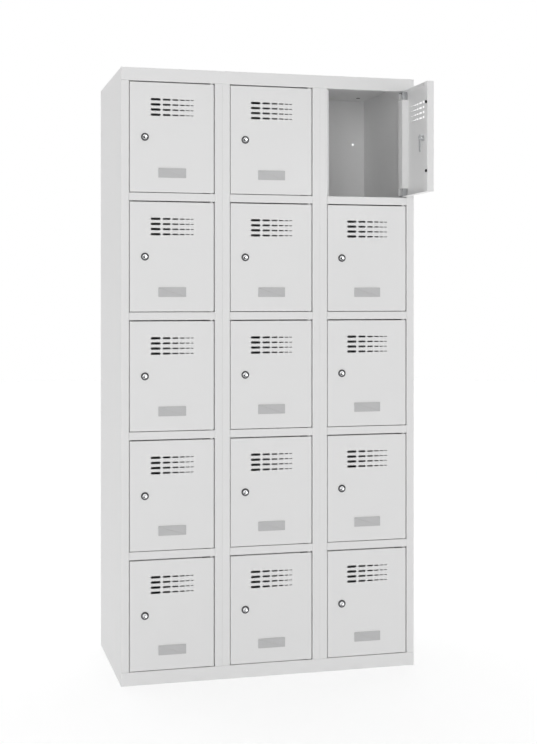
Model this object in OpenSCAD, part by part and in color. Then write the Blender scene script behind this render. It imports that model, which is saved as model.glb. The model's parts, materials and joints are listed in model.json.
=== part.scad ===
// Parcel locker: a floor-standing cabinet of folded steel sheet with three columns of
// five compartments, each with a pan door on two pivot pins and a cam lock.
// Millimetres. The doors face -Y, +X is to the right of a person facing them, +Z is up.
// The origin is on the floor, in the middle of the box that holds the cabinet and its
// one open door. Columns count from the left and rows from the bottom.

/* [Cabinet] */
// Height from the floor to the top sheet
cabinet_h = 1800; // [1500:1:2200]
// Width over the side panels
cabinet_w = 900; // [750:1:1200]
// Depth from the door faces to the rear folds
cabinet_d = 490; // [350:1:650]
// Thickness of the steel sheet
sheet = 0.8; // [0.6:0.05:1.2]
// Inside radius of an ordinary fold
fold_r = 0.6; // [0.4:0.1:1]
// Gap where two sheets meet and are welded
seam = 0.3; // [0.2:0.05:0.5]

/* [Front frame] */
// Height of the rail above the top doors
top_rail_h = 38; // [30:1:60]
// Height of the plinth rail below the bottom doors
base_rail_h = 40; // [30:1:120]
// Height of the rail between two doors
cross_rail_h = 23; // [18:0.5:40]
// Width of an outer stile, and of each half of a middle stile
stile_w = 22.75; // [18:0.25:35]
// Depth of a stile from its face to the back of its door stop
stile_d = 25; // [24:0.5:30]
// Width of the door stop that stands into the opening
stop_w = 12; // [8:0.5:16]
// Depth of the returns behind the rails
rail_d = 20; // [16:0.5:22]
// Width of the folds that the panels are welded by
weld_fold = 15; // [8:1:20]

/* [Doors] */
// Thickness of a door from its face to its rear lip
door_d = 20; // [18:0.5:20]
// Gap beside the door on the lock side
lock_gap = 2; // [1.5:0.1:4]
// Gap beside the door on the hinge side
hinge_gap = 2.5; // [2.2:0.1:4]
// Gap under the door
bottom_gap = 2; // [1.5:0.1:4]
// Gap above the door
top_gap = 3.5; // [2:0.1:5]
// Width of the rear lip on the lock side
lip_w = 25; // [18:0.5:35]
// Width of the stiffening box on the hinge side
box_w = 35; // [25:0.5:45]
// Length of the box's rear and inner walls cut away at each end
box_end_cut = 25; // [15:1:40]
// Outside radius of the hinge-side edge and its corners
hinge_edge_r = 4; // [3.5:0.1:5]
// Angle at which the top right door stands open
open_angle = 90; // [0:1:95]

/* [Vent slots] */
// Rows of slots in a door
vent_rows = 4; // [1:1:6]
// Slots in one row
vent_columns = 6; // [1:1:8]
// Distance between rows
vent_pitch = 15; // [10:0.5:20]
// Distance from the door's upper edge to the middle of the upper row
vent_drop = 49.5; // [30:0.5:80]
// Length of the longest slot
vent_len = 29; // [15:0.5:35]
// Height of the longest slot
vent_h = 7; // [3:0.5:9]
// Gap after the longest slot
vent_gap = 6.4; // [4:0.1:10]
// Size of each slot as a share of the one before
vent_taper = 0.795; // [0.7:0.005:1]

/* [Hinges] */
// Distance from the door's hinge edge to the pivot
pivot_inset = 7; // [6:0.1:8]
// Distance from the door face back to the pivot
pivot_y = 8; // [7:0.1:9]
// Diameter of the pivot pins
pin_d = 5; // [4:0.5:6]
// Radial clearance of a pin in its bush
pin_fit = 0.05; // [0.02:0.01:0.1]
// Diameter of the head under a pin
pin_head_d = 8; // [7:0.5:10]
// Thickness of the head under a pin
pin_head_t = 2; // [1:0.5:3]
// Diameter of the bush's collar
collar_d = 9; // [8:0.5:10]
// Diameter of the bush's spigot
spigot_d = 7; // [6.5:0.5:7.5]
// Length of the spigot beyond the sheet
spigot_end = 1.2; // [0.5:0.1:3]
// Gap between a bush's collar and the door
hinge_play = 0.3; // [0.2:0.1:0.5]
// Thickness of the hinge bracket
bracket_t = 3; // [2:0.5:4]
// Length of the bracket's leg inside the box
bracket_leg = 32; // [28:1:45]

/* [Lock] */
// Distance from the door's lock edge to the lock
lock_inset = 44.25; // [35:0.25:60]
// Diameter of the bezel
bezel_d = 23; // [20:0.5:28]
// Height of the bezel above the door face
bezel_h = 3; // [2:0.5:4]
// Diameter of the threaded housing
housing_d = 18.6; // [17:0.1:20]
// Diameter of the plug that the key turns
plug_d = 14; // [12:0.5:15]
// Radial clearance of the plug in its housing
plug_fit = 0.05; // [0.02:0.01:0.1]
// Radial clearance round the housing
housing_fit = 0.3; // [0.1:0.05:0.5]
// Width of the lock nut across its flats
nut_flats = 24; // [22:0.5:27]
// Thickness of the lock nut
nut_t = 4; // [3:0.5:6]
// Height of the keyhole
keyhole_h = 8; // [5:0.5:9]
// Width of the keyhole
keyhole_w = 1.6; // [1:0.1:2.5]
// Depth of the keyhole
keyhole_d = 18; // [10:1:20]
// Thickness of the cam
cam_t = 2; // [1.5:0.5:3]
// Width of the cam
cam_w = 14; // [10:0.5:16]
// Diameter of the cam's round eye
cam_eye_d = 17.5; // [16:0.5:20]
// Gap between the door stop and the cam behind it
cam_gap = 0.5; // [0.3:0.1:1.5]
// Distance left between the tip of the locked cam and the stile
cam_tip_gap = 4; // [2:0.5:6]
// Size of the square that drives the cam
drive_w = 9; // [7:0.5:9.5]
// Clearance round the driving square, the bushes' spigots and the cam
running_fit = 0.1; // [0.05:0.05:0.2]
// Diameter of the cam screw
cam_screw_d = 5; // [4:0.5:6]
// Length of the cam screw in the plug
cam_screw_len = 10; // [6:1:14]
// Diameter of the cam screw's head
cam_screw_head_d = 12; // [10:0.5:14]
// Height of the cam screw's head
cam_screw_head_h = 3; // [2:0.5:4]

/* [Small fittings] */
// Width of the label holder
label_w = 82; // [60:1:100]
// Height of the label holder
label_h = 28; // [20:1:40]
// Thickness of the label holder
label_t = 1.5; // [1:0.1:3]
// Distance from the door's lower edge to the label holder
label_rise = 42.75; // [30:0.25:60]
// Thickness of the glue film behind the label holder
glue_film = 0.1; // [0.05:0.05:0.2]
// Diameter of a rubber buffer
buffer_d = 9; // [7:0.5:11]
// Distance from the door's lock edge to the buffers
buffer_inset = 6.5; // [5.5:0.5:8]
// Distance between the two buffers
buffer_span = 200; // [120:1:220]
// Diameter of the buffer's stem
buffer_stem_d = 4; // [3:0.5:5]
// Clearance round the buffer's stem
buffer_fit = 0.1; // [0.05:0.05:0.2]
// Gap between a buffer and the door stop
buffer_gap = 0.3; // [0.2:0.1:0.5]
// Diameter of the buffer's barb behind the lip
barb_d = 6; // [5:0.5:7]
// Thickness of the buffer's barb
barb_t = 1.5; // [1:0.5:3]
// Diameter of the spare hole in the lip
spare_hole_d = 4; // [3:0.5:5]
// Distance from the door's lower edge to the spare hole
spare_hole_rise = 25; // [15:1:40]

/* [Fixing] */
// Diameter of the wall-fixing holes
wall_hole_d = 8; // [6:0.5:10]
// Distance from a side panel's outer face to a wall-fixing hole
wall_hole_inset = 42; // [30:1:80]
// Distance from the top of the cabinet to the wall-fixing holes
wall_hole_drop = 149; // [80:1:200]
// Diameter of the plugged holes in the top sheet
plug_hole_d = 10; // [8:0.5:12]
// Distance from a side panel's outer face to a plugged hole
plug_hole_inset = 46; // [30:1:80]
// Distance from the rear of the cabinet to a plugged hole
plug_hole_rear = 75; // [40:1:120]
// Diameter of a plug's head
plug_head_d = 13; // [12:0.5:16]
// Thickness of a plug's head
plug_head_t = 1; // [0.5:0.5:2]
// Clearance round a plug's stem
plug_stem_fit = 0.15; // [0.05:0.05:0.3]

/* [Hidden] */
$fn = 48;
// Straight steps in each quarter-turn fold
FOLD_STEPS = 4;
// Extra length that a cut runs past a face
PAST = 1;
// Step that the punches for the vent slots are made in
PUNCH_STEP = 0.1;
COLUMNS = 3;
ROWS = 5;
OPEN_COLUMN = 3;
OPEN_ROW = 5;

POWDER_COAT = "#d8d8d8";
LABEL_GREY = "#b9babb";
NYLON = "#e6e4dc";
RUBBER = "#1c1c1c";
ZINC = "#8d8f91";
CHROME = "#c9cbce";

half_sheet = sheet / 2;
column_pitch = cabinet_w / COLUMNS;
opening_w = column_pitch - 2 * stile_w;
opening_h = (cabinet_h - top_rail_h - base_rail_h - (ROWS - 1) * cross_rail_h) / ROWS;
row_pitch = opening_h + cross_rail_h;
door_w = opening_w - lock_gap - hinge_gap;
door_h = opening_h - bottom_gap - top_gap;
pivot_x = door_w - pivot_inset;
// How far the open door, or else a closed door's bezel, stands out of the front face
door_swept = pivot_x * sin(open_angle) + max(pivot_y * cos(open_angle), (pivot_y - door_d) * cos(open_angle));
door_reach = max(door_swept - pivot_y, bezel_h + glue_film);
front_y = (door_reach - cabinet_d) / 2;

// Inner faces of the carcass, measured from the front face
side_inner = cabinet_w / 2 - sheet;
back_front_y = cabinet_d - 2 * sheet - seam;
fold_rear_y = back_front_y - seam;
shelf_rear_y = fold_rear_y - sheet - seam;
stile_bottom = base_rail_h + seam;
stile_top = cabinet_h - top_rail_h - seam;
panel_top = cabinet_h - sheet - seam;

// Planes of the lock, measured from the door face
cam_front_y = stile_d + cam_gap;
housing_rear_y = cam_front_y - running_fit;
cam_len = lock_inset + lock_gap - cam_tip_gap;

function column_x(c) = (c - (COLUMNS + 1) / 2) * column_pitch;
function opening_z(r) = base_rail_h + (r - 1) * row_pitch;
function door_angle(c, r) = c == OPEN_COLUMN && r == OPEN_ROW ? open_angle : 0;
function left_wall(c) = c == 1 ? -side_inner : column_x(c) - column_pitch / 2 + half_sheet;
function right_wall(c) = c == COLUMNS ? side_inner : column_x(c) + column_pitch / 2 - half_sheet;

// Outline of a folded strip whose middle line follows right-angled turns through path
function heading(path, i) = (path[i + 1] - path[i]) / norm(path[i + 1] - path[i]);
function left_of(v) = [-v[1], v[0]];
function turn_sign(a, b) = sign(a[0] * b[1] - a[1] * b[0]);
function fold_point(corner, a, b, side, angle) =
    let (mid_r = fold_r + half_sheet, inward = b * cos(angle) - a * sin(angle))
    corner + (b - a) * mid_r - inward * (mid_r - side * turn_sign(a, b) * half_sheet);
function strip_side(path, side) = concat(
    [path[0] + left_of(heading(path, 0)) * side * half_sheet],
    [for (i = [1 : len(path) - 2], k = [0 : FOLD_STEPS])
        fold_point(path[i], heading(path, i - 1), heading(path, i), side, 90 * k / FOLD_STEPS)],
    [path[len(path) - 1] + left_of(heading(path, len(path) - 2)) * side * half_sheet]);
function reversed(list) = [for (i = [len(list) - 1 : -1 : 0]) list[i]];

module folded(path) {
    polygon(concat(strip_side(path, 1), reversed(strip_side(path, -1))));
}

// Extrusions of a flat outline along each axis, from a start to a length
module along_x(from, length) {
    translate([from, 0, 0]) rotate([90, 0, 90]) linear_extrude(length) children();
}
module along_y(from, length) {
    translate([0, from + length, 0]) rotate([90, 0, 0]) linear_extrude(length) children();
}
module along_z(from, length) {
    translate([0, 0, from]) linear_extrude(length) children();
}

// A block given by its two opposite corners
module block(low, high) {
    translate(low) cube(high - low);
}

// Puts the front face of the cabinet in its place in the part's frame
module in_cabinet() {
    translate([0, front_y, 0]) children();
}

// Puts a door, drawn from its lower lock-side corner, in its opening at its angle
module in_opening(c, r) {
    left = column_x(c) - opening_w / 2 + lock_gap;
    translate([left + pivot_x, front_y + pivot_y, opening_z(r) + bottom_gap])
        rotate([0, 0, door_angle(c, r)])
            translate([-pivot_x, -pivot_y, 0]) children();
}

// Upright cylinders at the pivots of one column, from a height to a length
module at_pivot(c, from, length, diameter) {
    translate([column_x(c) - opening_w / 2 + lock_gap + pivot_x, pivot_y, from])
        cylinder(d = diameter, h = length);
}

module bush_hole(c, z) {
    at_pivot(c, z - PAST - sheet, 2 * (PAST + sheet), spigot_d + 2 * running_fit);
}

// ---- Carcass ----

// Flat wall with the stile welded behind its front edge, and a weld strip at its rear and foot
module side_panel() {
    outer = -cabinet_w / 2;
    stile_in = outer + stile_w;
    inner = outer + sheet + seam;
    stile_path = [
        [outer, half_sheet],
        [stile_in - half_sheet, half_sheet],
        [stile_in - half_sheet, stile_d - half_sheet],
        [stile_in + stop_w, stile_d - half_sheet]];
    foot_rear_y = fold_rear_y - half_sheet - weld_fold - seam;
    along_z(stile_bottom, stile_top - stile_bottom) folded(stile_path);
    block([outer, sheet + seam, 0], [outer + sheet, cabinet_d, panel_top]);
    block([inner, cabinet_d - sheet, 0], [outer + weld_fold, cabinet_d, panel_top]);
    block([inner, rail_d + seam, 0], [outer + weld_fold, foot_rear_y, sheet]);
}

module side_panel_left() {
    color(POWDER_COAT) in_cabinet() side_panel();
}

module side_panel_right() {
    color(POWDER_COAT) in_cabinet() mirror([1, 0, 0]) side_panel();
}

// One half of a middle stile, to the right of the joint at x = 0
module half_stile() {
    stile_path = [
        [seam / 2, half_sheet],
        [stile_w - half_sheet, half_sheet],
        [stile_w - half_sheet, stile_d - half_sheet],
        [stile_w + stop_w, stile_d - half_sheet]];
    along_z(stile_bottom, stile_top - stile_bottom) folded(stile_path);
}

module middle_stile(joint_x) {
    color(POWDER_COAT) in_cabinet() translate([joint_x, 0, 0]) {
        half_stile();
        mirror([1, 0, 0]) half_stile();
    }
}

// Flat wall with a weld strip behind the stile and another before the back panel
module partition(joint_x) {
    strip_in = half_sheet + seam;
    front = sheet + seam;
    height = panel_top - stile_bottom;
    color(POWDER_COAT) in_cabinet() translate([joint_x, 0, stile_bottom]) difference() {
        union() {
            block([-half_sheet, front, 0], [half_sheet, fold_rear_y, height]);
            block([-weld_fold, front, 0], [-strip_in, front + sheet, height]);
            block([strip_in, fold_rear_y - sheet, 0], [weld_fold, fold_rear_y, height]);
        }
        block([-weld_fold - PAST, 0, stile_top - stile_bottom], [weld_fold, rail_d + seam, cabinet_h]);
    }
}

module back_panel() {
    wide = side_inner - seam;
    hole_x = cabinet_w / 2 - wall_hole_inset;
    color(POWDER_COAT) in_cabinet() difference() {
        block([-wide, back_front_y, seam], [wide, back_front_y + sheet, panel_top]);
        for (x = [-hole_x, hole_x])
            translate([x, 0, cabinet_h - wall_hole_drop])
                along_y(back_front_y - PAST, sheet + 2 * PAST) circle(d = wall_hole_d);
    }
}

module top_panel() {
    half_w = cabinet_w / 2;
    rail_z = cabinet_h - top_rail_h;
    sheet_path = [
        [rail_d, rail_z + half_sheet],
        [half_sheet, rail_z + half_sheet],
        [half_sheet, cabinet_h - half_sheet],
        [cabinet_d - half_sheet, cabinet_h - half_sheet],
        [cabinet_d - half_sheet, cabinet_h - weld_fold]];
    color(POWDER_COAT) in_cabinet() difference() {
        along_x(-half_w, cabinet_w) folded(sheet_path);
        for (s = [0, 1]) mirror([s, 0, 0]) {
            block([side_inner - seam, sheet, rail_z - PAST], [half_w + PAST, cabinet_d + PAST, cabinet_h - sheet]);
            block([half_w - weld_fold - seam, cabinet_d - sheet - fold_r, rail_z],
                [half_w, cabinet_d + PAST, cabinet_h - sheet]);
            translate([half_w - plug_hole_inset, cabinet_d - plug_hole_rear, cabinet_h - sheet - PAST])
                cylinder(d = plug_hole_d, h = sheet + 2 * PAST);
        }
        for (c = [1 : COLUMNS]) bush_hole(c, rail_z);
    }
}

module bottom_panel() {
    half_w = cabinet_w / 2;
    rear_y = fold_rear_y - half_sheet;
    sheet_path = [
        [rail_d, half_sheet],
        [half_sheet, half_sheet],
        [half_sheet, base_rail_h - half_sheet],
        [rear_y, base_rail_h - half_sheet],
        [rear_y, half_sheet],
        [rear_y - weld_fold, half_sheet]];
    color(POWDER_COAT) in_cabinet() difference() {
        along_x(-half_w, cabinet_w) folded(sheet_path);
        for (s = [0, 1]) mirror([s, 0, 0])
            block([side_inner - seam, sheet, -PAST], [half_w + PAST, cabinet_d, base_rail_h + PAST]);
        for (c = [1 : COLUMNS]) bush_hole(c, base_rail_h);
    }
}

// The shelf under the compartments of row r, whose front fold is the cross rail
module shelf(c, r) {
    top = opening_z(r);
    left = left_wall(c) + seam;
    right = right_wall(c) - seam;
    rear_y = shelf_rear_y - half_sheet;
    sheet_path = [
        [rear_y, top - weld_fold],
        [rear_y, top - half_sheet],
        [half_sheet, top - half_sheet],
        [half_sheet, top - cross_rail_h + half_sheet],
        [rail_d, top - cross_rail_h + half_sheet]];
    fold_front_y = stile_d + seam;
    difference() {
        union() {
            along_x(left, right - left) folded(sheet_path);
            for (x = [left, right - sheet])
                block([x, fold_front_y, top - weld_fold], [x + sheet, shelf_rear_y - weld_fold, top - half_sheet]);
        }
        translate([column_x(c), 0, top - cross_rail_h]) for (s = [0, 1]) mirror([s, 0, 0]) {
            block([opening_w / 2 - seam, -PAST, -PAST], [column_pitch, fold_front_y, cross_rail_h + PAST]);
            block([opening_w / 2 - stop_w - seam, stile_d - sheet - seam, -PAST],
                [column_pitch, fold_front_y, cross_rail_h + PAST]);
        }
        bush_hole(c, top);
        bush_hole(c, top - cross_rail_h);
    }
}

module shelves(c) {
    color(POWDER_COAT) in_cabinet() for (r = [2 : ROWS]) shelf(c, r);
}

// A flanged bush on a sheet, with its collar upwards and the sheet under z = 0
module bush(collar_h) {
    difference() {
        union() {
            cylinder(d = collar_d, h = collar_h);
            translate([0, 0, -sheet - spigot_end]) cylinder(d = spigot_d, h = sheet + spigot_end + collar_h);
        }
        translate([0, 0, -sheet - spigot_end - PAST])
            cylinder(d = pin_d + 2 * pin_fit, h = collar_h + sheet + spigot_end + 2 * PAST);
    }
}

module hinge_bushes() {
    color(NYLON) in_cabinet() for (c = [1 : COLUMNS], r = [1 : ROWS])
        translate([column_x(c) - opening_w / 2 + lock_gap + pivot_x, pivot_y, opening_z(r)]) {
            bush(bottom_gap - hinge_play);
            translate([0, 0, opening_h]) mirror([0, 0, 1]) bush(top_gap - hinge_play);
        }
}

module hole_plugs() {
    stem = sheet + plug_stem_fit;
    color(RUBBER) in_cabinet() for (s = [0, 1]) mirror([s, 0, 0])
        translate([cabinet_w / 2 - plug_hole_inset, cabinet_d - plug_hole_rear, cabinet_h - stem]) {
            cylinder(d = plug_hole_d - 2 * plug_stem_fit, h = stem);
            translate([0, 0, -plug_head_t]) cylinder(d = plug_head_d, h = plug_head_t);
        }
}

// ---- Doors, each drawn from its lower lock-side corner ----

// A rectangle with its own radius at each corner, in the order of its corners:
// lower left, lower right, upper right, upper left
module rounded_plate(low, high, radii) {
    corners = [low, [high[0], low[1]], high, [low[0], high[1]]];
    polygon([for (i = [0 : 3], k = [0 : FOLD_STEPS])
        let (turn = 180 + 90 * i, r = radii[i], a = turn + 90 * k / FOLD_STEPS,
            inward = -[cos(turn) - sin(turn), sin(turn) + cos(turn)])
        corners[i] + r * inward + r * [cos(a), sin(a)]]);
}

module pan_section() {
    outer_r = fold_r + sheet;
    difference() {
        rounded_plate([0, 0], [door_w, door_d], [outer_r, hinge_edge_r, outer_r, outer_r]);
        rounded_plate([door_w - box_w + sheet, sheet], [door_w - sheet, door_d - sheet],
            [fold_r, hinge_edge_r - sheet, fold_r, fold_r]);
    }
}

module pan_hollow() {
    rounded_plate([sheet, sheet], [door_w - box_w, door_d - sheet], [fold_r, fold_r, fold_r, fold_r]);
    translate([lip_w, sheet]) square([door_w - box_w - lip_w, door_d]);
}

// Size of the slot at place i in its row, to the step that the punches are made in
function punched(size, i) = round(size * vent_taper ^ i / PUNCH_STEP) * PUNCH_STEP;
function slot_start(i) = i == 0 ? 0 : slot_start(i - 1) + punched(vent_len, i - 1) + punched(vent_gap, i - 1);

module vent_slots() {
    last = vent_columns - 1;
    row_w = slot_start(last) + punched(vent_len, last);
    for (row = [0 : vent_rows - 1], i = [0 : last]) {
        length = punched(vent_len, i);
        h = punched(vent_h, i);
        translate([(door_w - row_w) / 2 + slot_start(i), door_h - vent_drop - row * vent_pitch]) {
            translate([h / 2, -h / 2]) square([length - h, h]);
            for (x = [h / 2, length - h / 2]) translate([x, 0]) circle(d = h);
        }
    }
}

module door_pan() {
    outer_r = fold_r + sheet;
    difference() {
        intersection() {
            along_z(0, door_h) pan_section();
            along_x(0, door_w) rounded_plate([0, 0], [door_d, door_h], [outer_r, 0, 0, outer_r]);
            along_y(0, door_d) rounded_plate([0, 0], [door_w, door_h], [0, hinge_edge_r, hinge_edge_r, 0]);
        }
        along_z(sheet, door_h - 2 * sheet) pan_hollow();
        for (z = [-PAST, door_h - box_end_cut]) {
            block([door_w - box_w, door_d - sheet - fold_r, z],
                [door_w - sheet, door_d + PAST, z + box_end_cut + PAST]);
            block([door_w - box_w, sheet + 2 * fold_r, z],
                [door_w - box_w + sheet + fold_r, door_d, z + box_end_cut + PAST]);
        }
        along_y(-PAST, sheet + 2 * PAST) {
            vent_slots();
            translate([lock_inset, door_h / 2]) circle(d = housing_d + 2 * housing_fit);
        }
        along_y(door_d - sheet - PAST, sheet + 2 * PAST) {
            for (z = [-buffer_span / 2, buffer_span / 2])
                translate([buffer_inset, door_h / 2 + z]) circle(d = buffer_stem_d + 2 * buffer_fit);
            translate([buffer_inset, spare_hole_rise]) circle(d = spare_hole_d);
        }
    }
}

module door_panel(c, r) {
    color(POWDER_COAT) in_opening(c, r) door_pan();
}

module lock_housing() {
    difference() {
        translate([lock_inset, 0, door_h / 2]) {
            along_y(-bezel_h - glue_film, bezel_h) circle(d = bezel_d);
            along_y(-bezel_h - glue_film, housing_rear_y + bezel_h + glue_film) circle(d = housing_d);
        }
        translate([lock_inset, 0, door_h / 2])
            along_y(-bezel_h - PAST, housing_rear_y + bezel_h + 2 * PAST) circle(d = plug_d + 2 * plug_fit);
    }
}

module lock_nut() {
    translate([lock_inset, 0, door_h / 2]) along_y(sheet + glue_film, nut_t) difference() {
        circle(d = nut_flats / cos(30), $fn = 6);
        circle(d = housing_d + 2 * housing_fit);
    }
}

module label_holder() {
    left = (door_w - label_w) / 2;
    block([left, -glue_film - label_t, label_rise], [left + label_w, -glue_film, label_rise + label_h]);
}

module buffer() {
    along_y(door_d, stile_d - sheet - buffer_gap - door_d) circle(d = buffer_d);
    along_y(door_d - sheet - barb_t, sheet + barb_t + PAST) circle(d = buffer_stem_d);
    along_y(door_d - sheet - barb_t, barb_t) circle(d = barb_d);
}

// Bracket and pin at the upper end of the box, with the end of the door at z = 0
module hinge_bracket() {
    left = door_w - box_w + sheet + seam;
    right = door_w - sheet - seam;
    rear = door_d - sheet - seam;
    difference() {
        union() {
            block([left, hinge_edge_r, -seam - bracket_t], [right, rear, -seam]);
            block([left, hinge_edge_r, -seam - bracket_leg], [left + bracket_t, rear, -seam]);
        }
        translate([pivot_x, pivot_y, -bracket_leg]) cylinder(d = pin_d + 2 * pin_fit, h = bracket_leg + PAST);
    }
}

module hinge_pin(gap) {
    base = -seam - bracket_t - seam;
    translate([pivot_x, pivot_y, base]) cylinder(d = pin_d, h = gap + sheet + spigot_end - base);
    translate([pivot_x, pivot_y, base - pin_head_t]) cylinder(d = pin_head_d, h = pin_head_t);
}

module door_fittings(c, r) {
    in_opening(c, r) {
        color(CHROME) lock_housing();
        color(ZINC) lock_nut();
        color(LABEL_GREY) label_holder();
        color(RUBBER) for (z = [-buffer_span / 2, buffer_span / 2])
            translate([buffer_inset, 0, door_h / 2 + z]) buffer();
        color(ZINC) {
            translate([0, 0, door_h]) {
                hinge_bracket();
                hinge_pin(top_gap);
            }
            mirror([0, 0, 1]) {
                hinge_bracket();
                hinge_pin(bottom_gap);
            }
        }
    }
}

// Plug, cam and screw: all that turns with the key
module plug() {
    difference() {
        union() {
            along_y(-bezel_h - glue_film, housing_rear_y + bezel_h + glue_film) circle(d = plug_d);
            along_y(0, cam_front_y + cam_t) square(drive_w, center = true);
        }
        along_y(-bezel_h - PAST, keyhole_d + PAST) square([keyhole_w, keyhole_h], center = true);
        along_y(cam_front_y + cam_t - cam_screw_len, cam_screw_len + PAST) circle(d = cam_screw_d + 2 * plug_fit);
    }
}

module cam() {
    along_y(cam_front_y, cam_t) difference() {
        union() {
            circle(d = cam_eye_d);
            translate([-cam_w / 2, -cam_len + cam_w / 2]) square([cam_w, cam_len - cam_w / 2]);
            translate([0, -cam_len + cam_w / 2]) circle(d = cam_w);
        }
        square(drive_w + 2 * running_fit, center = true);
    }
}

module cam_screw() {
    head_y = cam_front_y + cam_t + running_fit;
    along_y(head_y - cam_screw_len, cam_screw_len + cam_screw_head_h) circle(d = cam_screw_d);
    along_y(head_y, cam_screw_head_h) circle(d = cam_screw_head_d);
}

module lock_core(c, r) {
    in_opening(c, r) translate([lock_inset, 0, door_h / 2]) {
        color(CHROME) plug();
        color(ZINC) cam();
        color(ZINC) cam_screw();
    }
}

function cell_names(prefix) = [for (c = [1 : COLUMNS], r = [1 : ROWS]) str(prefix, "_c", c, "_r", r)];

side_panel_left();
side_panel_right();
back_panel();
top_panel();
bottom_panel();
partition(-column_pitch / 2);  // partition_left
partition(column_pitch / 2);  // partition_right
middle_stile(-column_pitch / 2);  // middle_stile_left
middle_stile(column_pitch / 2);  // middle_stile_right
shelves(1);  // shelves_left
shelves(2);  // shelves_middle
shelves(3);  // shelves_right
hinge_bushes();
hole_plugs();
for (c = [1 : COLUMNS], r = [1 : ROWS]) {
    door_panel(c, r);
    door_fittings(c, r);
    lock_core(c, r);
}
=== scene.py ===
"""Looks of a parcel locker: fifteen vented doors in a cabinet of folded, powder-coated steel.

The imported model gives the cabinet, the door pans and every joint. This script gives the sheet
steel its coat and models the fittings: lock housings, nuts, plugs and cams, label holders,
rubber buffers, hinge brackets with their pins, nylon bushes and hole plugs.
Lengths are in metres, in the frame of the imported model. A door's own frame has its origin on
the pivot at mid height, with X towards the hinge edge, Y into the cabinet and Z up.
"""

import json
import logging
import math
from collections.abc import Callable, Iterable, Sequence
from dataclasses import dataclass
from enum import Enum
from typing import Any

import bpy
from mathutils import Matrix, Vector


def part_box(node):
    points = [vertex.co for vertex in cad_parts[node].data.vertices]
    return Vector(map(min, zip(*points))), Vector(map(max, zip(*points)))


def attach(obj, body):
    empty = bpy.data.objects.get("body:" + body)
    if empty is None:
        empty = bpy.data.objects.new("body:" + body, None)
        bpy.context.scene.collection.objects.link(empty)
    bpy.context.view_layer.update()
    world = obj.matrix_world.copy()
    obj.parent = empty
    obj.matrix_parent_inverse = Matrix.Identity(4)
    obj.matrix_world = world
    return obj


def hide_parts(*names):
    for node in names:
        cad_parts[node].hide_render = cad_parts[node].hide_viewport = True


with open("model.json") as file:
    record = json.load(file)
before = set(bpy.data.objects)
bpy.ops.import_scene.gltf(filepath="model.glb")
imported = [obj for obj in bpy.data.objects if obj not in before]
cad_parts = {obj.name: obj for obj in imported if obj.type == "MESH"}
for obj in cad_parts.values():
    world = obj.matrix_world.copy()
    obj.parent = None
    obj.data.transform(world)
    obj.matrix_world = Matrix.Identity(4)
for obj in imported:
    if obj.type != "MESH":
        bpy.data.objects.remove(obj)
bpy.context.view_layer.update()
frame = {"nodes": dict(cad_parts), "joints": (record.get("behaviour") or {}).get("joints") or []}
LOG = logging.getLogger("parcel_locker")
MM = 0.001
# The sheet steel's thickness, the gap left where sheets are welded, and the gap under glued pieces.
SHEET = 0.8 * MM
SEAM = 0.3 * MM
GLUE = 0.1 * MM

Point = tuple[float, float]
Colour = tuple[float, float, float]


# ---- Shader maths ----


class Signal:
    """One output of a node; arithmetic on it adds Math nodes to its graph."""

    def __init__(self, graph: "Graph", socket: bpy.types.NodeSocket) -> None:
        """Keeps the socket and the graph that it belongs to."""
        self.graph = graph
        self.socket = socket

    def math(self, operation: str, *values: "Signal | float") -> "Signal":
        """Adds a Math node with these values in its sockets, and returns what it gives."""
        node = self.graph.node("ShaderNodeMath", {"operation": operation}, dict(enumerate(values)))
        return Signal(self.graph, node.outputs[0])

    def __add__(self, other: "Signal | float") -> "Signal":
        """Returns the sum."""
        return self.math("ADD", self, other)

    def __sub__(self, other: "Signal | float") -> "Signal":
        """Returns the difference."""
        return self.math("SUBTRACT", self, other)

    def __mul__(self, other: "Signal | float") -> "Signal":
        """Returns the product."""
        return self.math("MULTIPLY", self, other)

    def __truediv__(self, other: "Signal | float") -> "Signal":
        """Returns the quotient."""
        return self.math("DIVIDE", self, other)

    def __rsub__(self, other: float) -> "Signal":
        """Returns a number less this value."""
        return self.math("SUBTRACT", other, self)

    def from_nearest(self, start: float, pitch: float) -> "Signal":
        """Measures how far the value is from the nearest mark on a scale that has one at start."""
        turns = (self - start) / pitch
        return self.math("ABSOLUTE", turns - self.math("ROUND", turns)) * pitch

    def ramp(self, low: float, high: float) -> "Signal":
        """Maps the value smoothly, from 0 at low to 1 at high."""
        settings = {"interpolation_type": "SMOOTHSTEP"}
        node = self.graph.node("ShaderNodeMapRange", settings, {0: self, 1: low, 2: high})
        return Signal(self.graph, node.outputs[0])


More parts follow.
